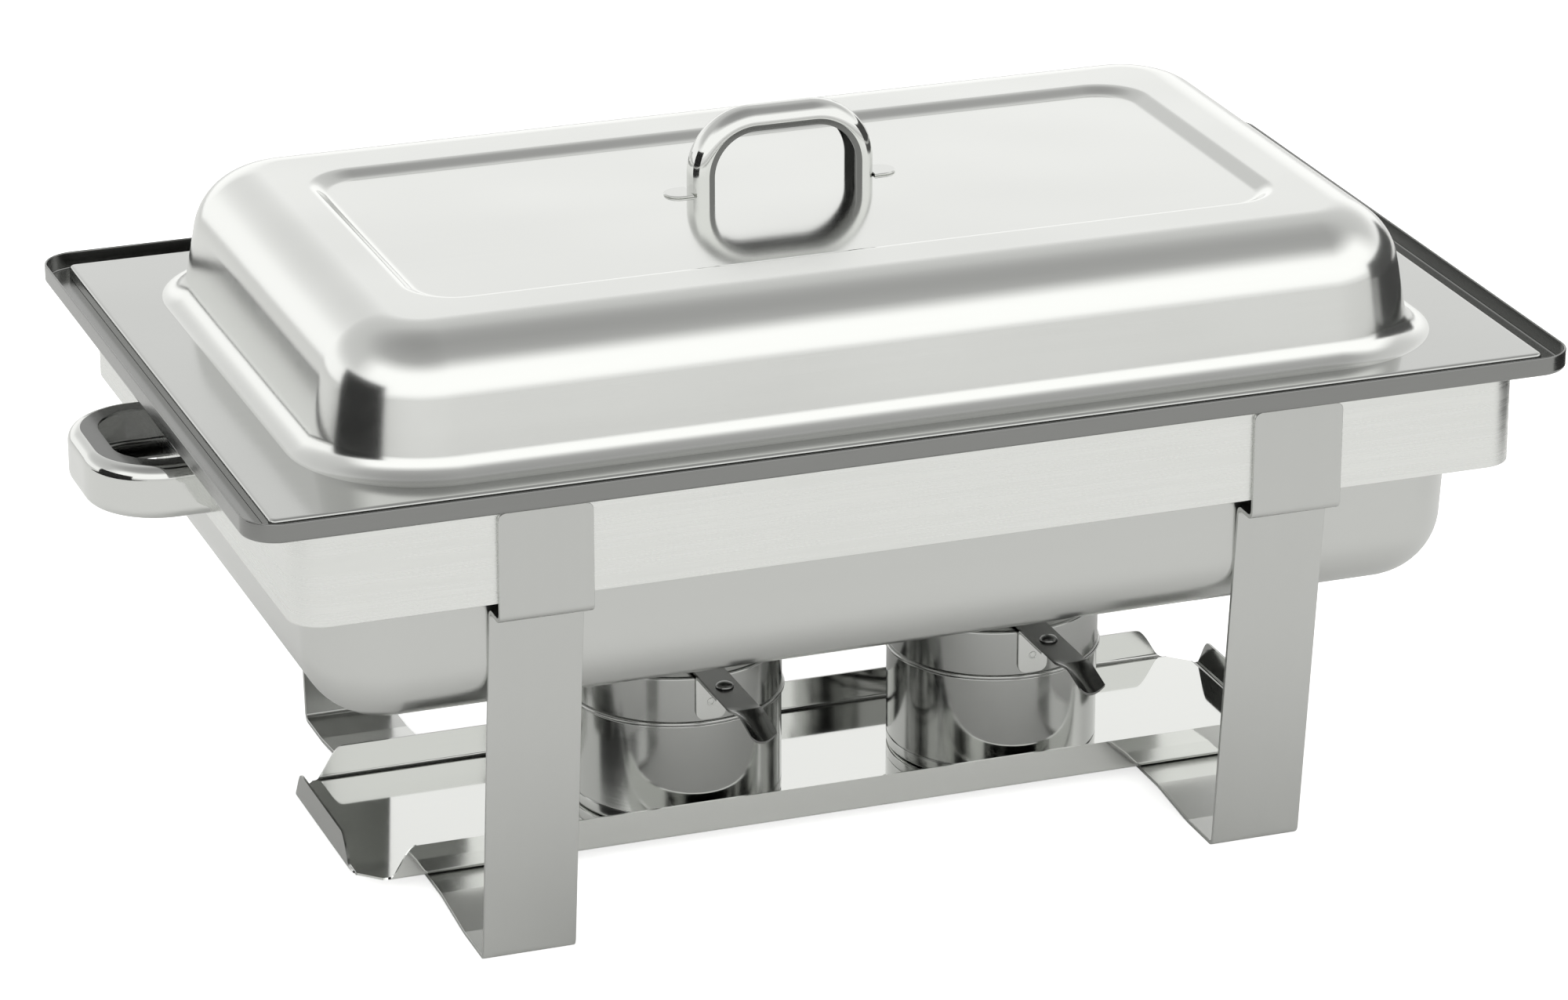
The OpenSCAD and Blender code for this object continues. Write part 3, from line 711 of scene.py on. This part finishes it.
def tab(reach, width, start):
    """Levels of a flat tab from x = start to a half-round end at x = reach, with filed edges."""
    turn = np.linspace(-np.pi / 2, np.pi / 2, 17)
    r = width / 2
    outline = np.stack([reach - r + r * np.cos(turn), r * np.sin(turn)], axis=1)
    outline = np.concatenate([[[start, -r]], outline, [[start, r]]])
    middle = np.array([(start + reach) / 2, 0])
    away = outline - middle
    size = np.linalg.norm(away, axis=1, keepdims=True)
    levels = []
    for inset, z in ((FILED, 0), (0, FILED), (0, HANDLE_SHEET - FILED), (FILED, HANDLE_SHEET)):
        flat = middle + away * (1 - inset / size)
        levels.append(np.hstack([flat, np.full((len(flat), 1), z)]))
    return np.stack(levels)


def bow(name, node, body, place, length, height, width, depth, corner, bend, tab_reach):
    """A channel bow standing along +Z over the origin, its legs apart along X, then put in place."""
    foot = [(-length / 2 + depth, 0), (-length / 2 + depth, height - depth),
            (length / 2 - depth, height - depth), (length / 2 - depth, 0)]
    line = refine(soften(foot[::-1], bend - depth, 24), HANDLE_STEP)
    path = np.stack([line[:, 0], np.zeros(len(line)), line[:, 1]], axis=1)
    shape = Shape()
    for paint, outline in enumerate(channel(width, depth, corner)):
        shape.add(sweep(path, (0, 1, 0), outline), paint=paint)
    plate = tab(length / 2 + tab_reach, TAB_WIDTH, length / 2 - TAB_LAP)
    for side in (1, -1):
        shape.add(plate * [side, 1, 1], wrap=True, close=True)
    turned = np.array(shape.points) @ np.array(place.to_3x3()).T + np.array(place.translation)
    shape.points = turned.tolist()
    piece = shape.build(name, body, "bright_steel", [handle_metal, channel_painted_shade])
    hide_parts(node)
    return piece


grip_low, grip_high = span("lid_handle")
lid_place = Matrix.Translation((0, (grip_low[1] + grip_high[1]) / 2, grip_low[2]))
lid_grip = bow("lid_grip", "lid_handle", "lid", lid_place, length=85 * MM,
               height=grip_high[2] - grip_low[2], width=16 * MM, depth=9.5 * MM,
               corner=7 * MM, bend=29 * MM, tab_reach=11 * MM)
end_grips = []
for side, sign in (("left", -1), ("right", 1)):
    low, high = span(f"end_handle_{side}")
    spin = Matrix(((0, 0, sign), (sign, 0, 0), (0, 1, 0))).to_4x4()
    end_place = Matrix.Translation((sign * band_high[0], 0, (low[2] + high[2]) / 2)) @ spin
    end_grips.append(bow(f"end_grip_{side}", f"end_handle_{side}", "stand", end_place,
                         length=88 * MM, height=high[0] - low[0], width=high[2] - low[2],
                         depth=13 * MM, corner=5.5 * MM, bend=33 * MM, tab_reach=7 * MM))
print("handles", lid_grip.name, [grip.name for grip in end_grips])

# %% [markdown]
# ## The burner tray
# The tray is one sheet with four flanges turned up. Each flange swells from nothing at its ends in
# an S curve, so the corners of the sheet lie open and flat. A flange is a grid: along the side, and
# up the bend, cut off at the S curve's height. Solidify gives the thickness.

# %% Build the burner tray
TRAY_SHEET = 1 * MM
TRAY_BEND = 2.2 * MM
TRAY_CUT = 11 * MM             # how far a flange stops short of the corner
SWELL = 15 * MM                # length of the S curve at each end of a flange
LEAST = 0.03                   # least share of the flange's rows, so that no face has no area
tray_low, tray_high = span("burner_tray")


def flange(half_run, reach, height):
    """Flange along X at y = -reach: rows climb the bend and the wall up to the S curve."""
    swell = np.linspace(0, 1, 17)
    straight = np.linspace(SWELL - half_run, half_run - SWELL, 40)[1:-1]
    x = np.concatenate([SWELL * swell - half_run, straight, half_run - SWELL * swell[::-1]])
    ends = (1 - np.cos(np.pi * swell)) / 2
    tall = np.concatenate([ends, np.ones(len(straight)), ends[::-1]])
    bend_length = TRAY_BEND * np.pi / 2
    total = bend_length + height - TRAY_BEND
    rows = np.concatenate([np.linspace(0, bend_length, 9), np.linspace(bend_length, total, 8)[1:]])
    along = np.minimum(rows[:, None], total * np.maximum(tall, LEAST))
    turn = np.minimum(along / bend_length, 1) * np.pi / 2
    y = -reach + TRAY_BEND - TRAY_BEND * np.sin(turn)
    z = TRAY_BEND - TRAY_BEND * np.cos(turn) + np.maximum(along - bend_length, 0)
    return np.stack([np.broadcast_to(x, y.shape), y, z], axis=-1)


tray_x, tray_y = tray_high[0] - TRAY_SHEET / 2, tray_high[1] - TRAY_SHEET / 2
tray_h = tray_high[2] - tray_low[2] - TRAY_SHEET / 2
tray_shape = Shape()
floor_edge = []
for quarter, (run, reach) in enumerate(2 * [(tray_x, tray_y), (tray_y, tray_x)]):
    c, s = round(math.cos(quarter * math.pi / 2)), round(math.sin(quarter * math.pi / 2))
    turned = flange(run - TRAY_CUT, reach, tray_h) @ np.array([[c, s, 0], [-s, c, 0], [0, 0, 1]])
    turned[..., 2] += tray_low[2] + TRAY_SHEET / 2
    # Every flange but the front one gets the darker grey, painted shade on the inner faces in view.
    tray_shape.add(turned, paint=min(quarter, 1))
    floor_edge.append(turned[0])
tray_shape.flat(np.concatenate(floor_edge))
tray_metals = [tray_metal, tray_flange_painted_shade]
tray = tray_shape.build("tray", "tray", "bright_steel", tray_metals, sheet=TRAY_SHEET)
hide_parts("burner_tray")
print("tray", len(tray.data.polygons), "faces")

# %% [markdown]
# ## Turned shapes
# Cans, caps, discs and rivets are turned: a profile of radius and height goes round a standing axis.
# The profiles are short lists of points with arcs between them.

# %% Turned profiles
POLE = 0.01 * MM               # radius at which a turned face stops short of its axis


def lathe(profile, x, y, steps=96):
    """Grid of a profile (r, z) turned round a standing axis at x, y."""
    p = np.asarray(profile, float)
    a = np.linspace(0, 2 * np.pi, steps, endpoint=False)
    ones = np.ones_like(a)
    return np.stack([x + p[:, :1] * np.cos(a), y + p[:, :1] * np.sin(a), p[:, 1:] * ones], axis=-1)


def bend2(centre, radius, first, last, steps=6):
    """Points of a flat arc about a centre, from one angle to another."""
    a = np.radians(np.linspace(first, last, steps + 1))
    return np.asarray(centre) + radius * np.stack([np.cos(a), np.sin(a)], axis=1)


print("points in a quarter arc", len(bend2((0, 0), 1, 0, 90)))

# %% [markdown]
# ## The can and its cap
# Each burner is a spun can with a cap pushed over its neck. The can has a groove near its foot. The
# cap has a rolled bead at its foot and a flame hole in its top.

# %% The can and the cap
CAN_SHEET = 0.8 * MM
CAN_BEND = 1.5 * MM            # bend at the can's foot and at the cap's shoulder
GROOVE_Z, GROOVE_HALF, GROOVE_DEPTH = 5.8 * MM, 0.6 * MM, 0.35 * MM
NECK_STEP, NECK_HEIGHT = 0.9 * MM, 9 * MM
BEAD = 1.2 * MM                # radius of the cap's rolled foot
CAP_R = 47.8 * MM              # outer radius of the cap's wall
FLAME_HOLE = 30 * MM           # radius
CAP_ROW = 6 * MM               # width of the outer row of the cap's top


def fuel_can(side, x, y):
    """Up the outside, in at the neck, and back down the inside."""
    low, high = span(f"fuel_can_{side}")
    r = (high[0] - low[0]) / 2
    foot_z, top_z = low[2], high[2]
    neck = r - NECK_STEP
    bore = neck - CAN_SHEET
    shoulder = top_z - NECK_HEIGHT
    floor = [(POLE, foot_z), (r - 2 * CAN_BEND, foot_z)]
    foot = bend2((r - CAN_BEND, foot_z + CAN_BEND), CAN_BEND, -90, 0)
    groove = [(r, foot_z + GROOVE_Z - GROOVE_HALF), (r - GROOVE_DEPTH, foot_z + GROOVE_Z),
              (r, foot_z + GROOVE_Z + GROOVE_HALF)]
    top = [(r, shoulder - 0.5 * MM), (r - 0.3 * MM, shoulder), (neck, shoulder), (neck, top_z)]
    inside = [(bore, top_z), (bore, foot_z + CAN_SHEET + CAN_BEND),
              (bore - CAN_BEND, foot_z + CAN_SHEET), (POLE, foot_z + CAN_SHEET)]
    profile = np.concatenate([floor, foot, groove, top, inside])
    shape = Shape().add(lathe(profile, x, y), wrap=True)
    piece = shape.build(f"can_{side}", f"can_{side}", "bright_steel", [burner_metal])
    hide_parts(f"fuel_can_{side}")
    return piece


def burner_cap(side, x, y):
    """Round the bead, up the outside, in to the flame hole and back down the inside."""
    low, high = span(f"burner_cap_{side}")
    foot_z, top_z = low[2], high[2]
    r = CAP_R
    roll = bend2((r, foot_z + BEAD), BEAD, -90, 78, 12)
    wall = [(r, foot_z + 2 * BEAD), (r, top_z - CAN_BEND)]
    corner = bend2((r - CAN_BEND, top_z - CAN_BEND), CAN_BEND, 0, 90)
    half = CAN_SHEET / 2
    rim = bend2((FLAME_HOLE + half, top_z - half), half, 90, 270, 6)
    under = [(r - CAN_BEND, top_z - CAN_SHEET), (r - CAN_SHEET, top_z - CAN_BEND),
             (r - CAN_SHEET, foot_z)]
    profile = np.concatenate([under[-1:], roll, wall, corner, [(r - CAP_ROW, top_z)], rim, under])
    shape = Shape().add(lathe(profile, x, y), wrap=True)
    piece = shape.build(f"cap_{side}", f"cap_{side}", "bright_steel", [burner_metal])
    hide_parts(f"burner_cap_{side}")
    return piece


print("can and cap sheet", round(CAN_SHEET / MM, 2), "mm")

# %% [markdown]
# ## The bracket and its rivet
# A bent strip is spot welded to the cap, which leaves a small ring in its face. The lever turns on
# a rivet with a domed head.

# %% The bracket and the rivet
LEVER = 1.2 * MM               # thickness of brackets and levers
BRACKET_BEND, BRACKET_CORNER, BRACKET_STEP = 1.6 * MM, 3.6 * MM, 4 * MM
WELD_Z, WELD_RING, WELD_BEAD, WELD_EDGE = 8 * MM, 1.5 * MM, 0.35 * MM, 2.2 * MM
RIVET_FOOT, RIVET_FOOT_H, RIVET_SHANK = 3 * MM, 1 * MM, 2 * MM
RIVET_HEAD, RIVET_DOME = 4 * MM, 2 * MM


def cap_bracket(side, x):
    """A bent strip with rounded lower corners, and the dimpled ring that a spot weld leaves."""
    low, high = span(f"cap_bracket_{side}")
    h = LEVER / 2
    wall_y = high[1] - h
    corners = [(wall_y, low[2]), (wall_y, high[2] - h), (low[1], high[2] - h)]
    line = soften(corners, BRACKET_BEND, 8)
    lower = np.array([0, 0.15, 0.5, 1.2, 2.2, 3.6]) * MM
    head = np.stack([np.full(len(lower), line[0, 0]), line[0, 1] + lower], axis=1)
    line = np.concatenate([head, refine(line[1:], BRACKET_STEP)])
    on_wall = line[:, 0] > wall_y - ONTO
    sections = round_end(high[0] - low[0], LEVER, line[:, 1] - low[2], BRACKET_CORNER, on_wall)
    shape = Shape().add(sweep(upright(line, x), (1, 0, 0), sections), wrap=True, close=True)
    ring = bend2((WELD_RING, 0.0), WELD_BEAD, 0, 180, 6)
    weld = np.concatenate([[(POLE, 0.05 * MM)], ring[::-1], [(WELD_EDGE, -0.1 * MM)]])
    dot = lathe(weld, 0, 0, 32)
    face_y = wall_y - h
    shape.add(np.stack([dot[..., 0] + x, face_y - dot[..., 2], dot[..., 1] + (low[2] + WELD_Z)], axis=-1),
              wrap=True)
    piece = shape.build(f"bracket_{side}", f"cap_{side}", "bright_steel", [handle_metal])
    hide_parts(f"cap_bracket_{side}")
    return piece


def pivot_rivet(side, x):
    """A rivet's flat foot, its shank and its domed head."""
    low, high = span(f"pivot_rivet_{side}")
    y = (low[1] + high[1]) / 2
    foot_z, head_z = low[2], high[2] - RIVET_DOME
    collar_z = foot_z + RIVET_FOOT_H
    foot = [(POLE, foot_z), (RIVET_FOOT - 0.2 * MM, foot_z), (RIVET_FOOT, foot_z + 0.2 * MM),
            (RIVET_FOOT, collar_z), (RIVET_SHANK, collar_z)]
    neck = [(RIVET_SHANK, head_z), (RIVET_HEAD - 0.1 * MM, head_z)]
    dome = np.radians(np.linspace(0, 90, 12))
    top = np.stack([RIVET_HEAD * np.cos(dome) + POLE, head_z + RIVET_DOME * np.sin(dome)], axis=1)
    shape = Shape().add(lathe(np.concatenate([foot, neck, top]), x, y, 40), wrap=True)
    piece = shape.build(f"rivet_{side}", f"cap_{side}", "bright_steel", [lever_metal])
    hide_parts(f"pivot_rivet_{side}")
    return piece


print("bracket strip", round(LEVER / MM, 2), "mm")

# %% [markdown]
# ## The lever and the disc
# A disc covers the flame hole. It hangs on a lever whose outer end bends down and is folded into a
# gutter, to keep fingers off hot metal.

# %% The lever and the disc
LEVER_BEND = 4 * MM
LEVER_STEP = 2.5 * MM          # longest stretch between two sections
GUTTER_FROM = 27 * MM          # from the rivet to the downward bend
GUTTER_LEAD, GUTTER_RUN = 3 * MM, 12 * MM   # where the fold starts before the bend, and its length
GUTTER_LIFT = 3.8 * MM         # height of the gutter's sides
GUTTER_NARROW = 0.16           # share of its width that the folded strip loses
DISC_EDGE, DISC_ROW = 0.3 * MM, 2 * MM


def cover_lever(side, x):
    """Flat strip, then a gutter: its sides lift with the square of the distance across."""
    low, high = span(f"cover_lever_{side}")
    rivet_low, rivet_high = span(f"pivot_rivet_{side}")
    width = high[0] - low[0]
    h = LEVER / 2
    z = high[2] - h
    bend_y = (rivet_low[1] + rivet_high[1]) / 2 - GUTTER_FROM
    tip = (low[1] + 0.2 * MM, low[2] + h + 0.2 * MM)
    line = refine(soften([(high[1], z), (bend_y, z), tip], LEVER_BEND), LEVER_STEP)
    grown = np.clip((bend_y + GUTTER_LEAD - line[:, 0]) / GUTTER_RUN, 0, 1)
    grown = grown * grown * (3 - 2 * grown)
    s = np.linspace(-1, 1, 15)
    lift = GUTTER_LIFT * s**2
    upper = np.stack([s[::-1] * width / 2, np.full(len(s), h)], axis=1)
    lower = np.stack([s * width / 2, np.full(len(s), -h)], axis=1)
    base = np.concatenate([upper, lower])
    raised = np.concatenate([lift[::-1], lift])
    narrow = 1 - GUTTER_NARROW * grown
    wide = base[None, :, 0] * narrow[:, None]
    tall = base[None, :, 1] - raised[None] * grown[:, None]
    sections = np.stack([wide, tall], axis=-1)
    shape = Shape().add(sweep(upright(line, x), (1, 0, 0), sections), wrap=True, close=True)
    piece = shape.build(f"lever_{side}", f"cover_{side}", "bright_steel", [lever_metal])
    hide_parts(f"cover_lever_{side}")
    return piece


def cover_disc(side, x, y):
    """A plain disc with bevelled edges."""
    low, high = span(f"cover_disc_{side}")
    r = (high[0] - low[0]) / 2
    foot_z, top_z = low[2], high[2]
    profile = [(POLE, foot_z), (r - DISC_EDGE, foot_z), (r, foot_z + DISC_EDGE),
               (r, top_z - DISC_EDGE), (r - DISC_EDGE, top_z), (r - DISC_ROW, top_z), (POLE, top_z)]
    shape = Shape().add(lathe(profile, x, y, 80), wrap=True)
    piece = shape.build(f"disc_{side}", f"cover_{side}", "bright_steel", [burner_metal])
    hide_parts(f"cover_disc_{side}")
    return piece


print("gutter lift", round(GUTTER_LIFT / MM, 2), "mm")

# %% [markdown]
# ## Both burners
# The two burners are alike, so one loop makes both about the middles of their cans.

# %% Build both burners
for side in ("left", "right"):
    low, high = span(f"fuel_can_{side}")
    cx, cy = (low[0] + high[0]) / 2, (low[1] + high[1]) / 2
    made = [fuel_can(side, cx, cy), burner_cap(side, cx, cy), cap_bracket(side, cx),
            pivot_rivet(side, cx), cover_lever(side, cx), cover_disc(side, cx, cy)]
    print("burner", side, [piece.name for piece in made])

# %% [markdown]
# ## The studio
# The dish stands on a plain white floor in a light tent. Polished steel shows only what is round
# it, so the tent is not even: pale at the horizon, brightest over that in front, grey overhead.
# Cards that the lens doesn't see are there for the steel alone: a matt card on the floor gives the
# legs and pans their grey, and dark ones at the sides draw the dark lines at the corners.

# %% Floor and cards
FLOOR_SIZE = (40.0, 40.0)


def matt(name, level, glow=0.0):
    """A matt paint of one grey, which may glow softly so that shadows on it stay pale."""
    material = bpy.data.materials.new(name)
    material.use_nodes = True
    shader = material.node_tree.nodes["Principled BSDF"]
    shader.inputs["Base Color"].default_value = (level, level, level * 0.99, 1)
    shader.inputs["Roughness"].default_value = 0.9
    shader.inputs["Specular IOR Level"].default_value = 0.0
    shader.inputs["Emission Color"].default_value = (1, 1, 1, 1)
    shader.inputs["Emission Strength"].default_value = glow
    return material


def plane(name, at, aim, size, material):
    """A flat rectangle at a place, facing a point, as part of the stage."""
    turn = (Vector(aim) - Vector(at)).to_track_quat("Z", "Y").to_matrix().to_4x4()
    placed = Matrix.Translation(at) @ turn
    w, h = size[0] / 2, size[1] / 2
    corners = [placed @ Vector((x, y, 0)) for x, y in ((-w, -h), (w, -h), (w, h), (-w, h))]
    mesh = bpy.data.meshes.new(name)
    mesh.from_pydata([tuple(corner) for corner in corners], [], [(0, 1, 2, 3)])
    mesh.materials.append(material)
    piece = bpy.data.objects.new(name, mesh)
    bpy.context.scene.collection.objects.link(piece)
    piece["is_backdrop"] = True
    return piece


def card(name, at, aim, size, level):
    """A plane that is seen only in the steel."""
    piece = plane(name, at, aim, size, matt(name, level))
    piece.visible_camera = piece.visible_diffuse = piece.visible_shadow = False
    return piece


floor = plane("floor", (0, 0, 0), (0, 0, 1), FLOOR_SIZE, matt("floor_white", 0.9, 0.68))
floor.visible_glossy = False
cards = [
    card("floor_card", (0, 0, 0.0004), (0, 0, 1), FLOOR_SIZE, 0.88),
    card("left_floor_card", (-1.52, -0.35, 0.001), (-1.52, -0.35, 1), (0.96, 1.9), 0.02),
    card("left_card", (-2.0, -0.35, 0.45), (0, -0.35, 0.45), (1.9, 0.9), 0.02),
    card("right_floor_card", (1.5, 0.1, 0.001), (1.5, 0.1, 1), (1.5, 1.2), 0.06),
    card("right_card", (2.2, 0.3, 0.4), (0, 0.3, 0.4), (2.6, 0.8), 0.06),
]
print("cards", [piece.name for piece in cards])

# %% [markdown]
# ## The light
# The tent is the world itself: one ramp of greys by height for the front half and one for the back,
# mixed over a short stretch between them. A soft lamp overhead lights the floor round the feet.

# %% Tent and lamp
world = bpy.data.worlds.new("studio")
bpy.context.scene.world = world
world.use_nodes = True
sky = Nodes(world.node_tree)
heading = sky.make("ShaderNodeTexCoord", output="Generated")
depth = sky.make("ShaderNodeSeparateXYZ", None, {0: heading}, output="Y")
height = sky.make("ShaderNodeSeparateXYZ", None, {0: heading}, output="Z")


def greys(*stops):
    """Ramp by (height, level) pairs, with height the sine of the angle above the horizon."""
    ramp = [((z + 1) / 2, (v, v, v * 0.99, 1)) for z, v in stops]
    return sky.make("ShaderNodeValToRGB", {"ramp": ramp}, {"Fac": 0.5 * height + 0.5})


front = greys((-0.1, 0.95), (0.0, 0.95), (0.08, 1.0), (0.14, 1.35), (0.66, 1.35), (0.86, 0.5),
              (1.0, 0.40))
back = greys((0.0, 1.25), (0.25, 1.25), (0.36, 0.96), (0.47, 0.78), (0.75, 0.68), (0.9, 0.48),
             (1.0, 0.38))
clamped_sum = {"operation": "ADD", "use_clamp": True}
behind = sky.make("ShaderNodeMath", clamped_sum, {0: 2.5 * depth, 1: 0.5})
tent = sky.make("ShaderNodeMix", {"data_type": "RGBA"},
                {"Factor": behind, "A": front, "B": back}, output="Result")
background = world.node_tree.nodes["Background"]
world.node_tree.links.new(tent.socket, background.inputs["Color"])
background.inputs["Strength"].default_value = 1.0

lamp = bpy.data.lights.new("top_light", "AREA")
lamp.shape = "RECTANGLE"
lamp.size, lamp.size_y = 2.6, 1.8
lamp.energy = 18
top_light = bpy.data.objects.new("top_light", lamp)
bpy.context.scene.collection.objects.link(top_light)
top_light.location = (0.2, 0.2, 2.6)
top_light.visible_glossy = False
print("lamp", lamp.energy, "W over", lamp.size, "x", lamp.size_y, "m")

# %% [markdown]
# ## The camera
# A long lens stands well back, a little to the left and above, so the dish's edges stay nearly
# parallel. Its place is measured from the middle of the dish.

# %% Camera
CAMERA_OFFSET = Vector((-0.8753, -2.3731, 0.969))  # from the middle of the dish
CAMERA_AIM = Vector((0.3211, 0.8738, -0.3653))     # direction in which it looks
low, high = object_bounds()
middle = (Vector(low) + Vector(high)) / 2
lens = bpy.data.cameras.new("camera")
lens.sensor_width = 36
lens.lens = 140.5
lens.clip_end = 100
camera = bpy.data.objects.new("camera", lens)
bpy.context.scene.collection.objects.link(camera)
camera.location = middle + CAMERA_OFFSET
camera.rotation_euler = CAMERA_AIM.to_track_quat("-Z", "Y").to_euler()
bpy.context.scene.camera = camera
bpy.context.scene.view_settings.view_transform = "Standard"
print("camera", round(CAMERA_OFFSET.length, 2), "m from the middle")

# %% [markdown]
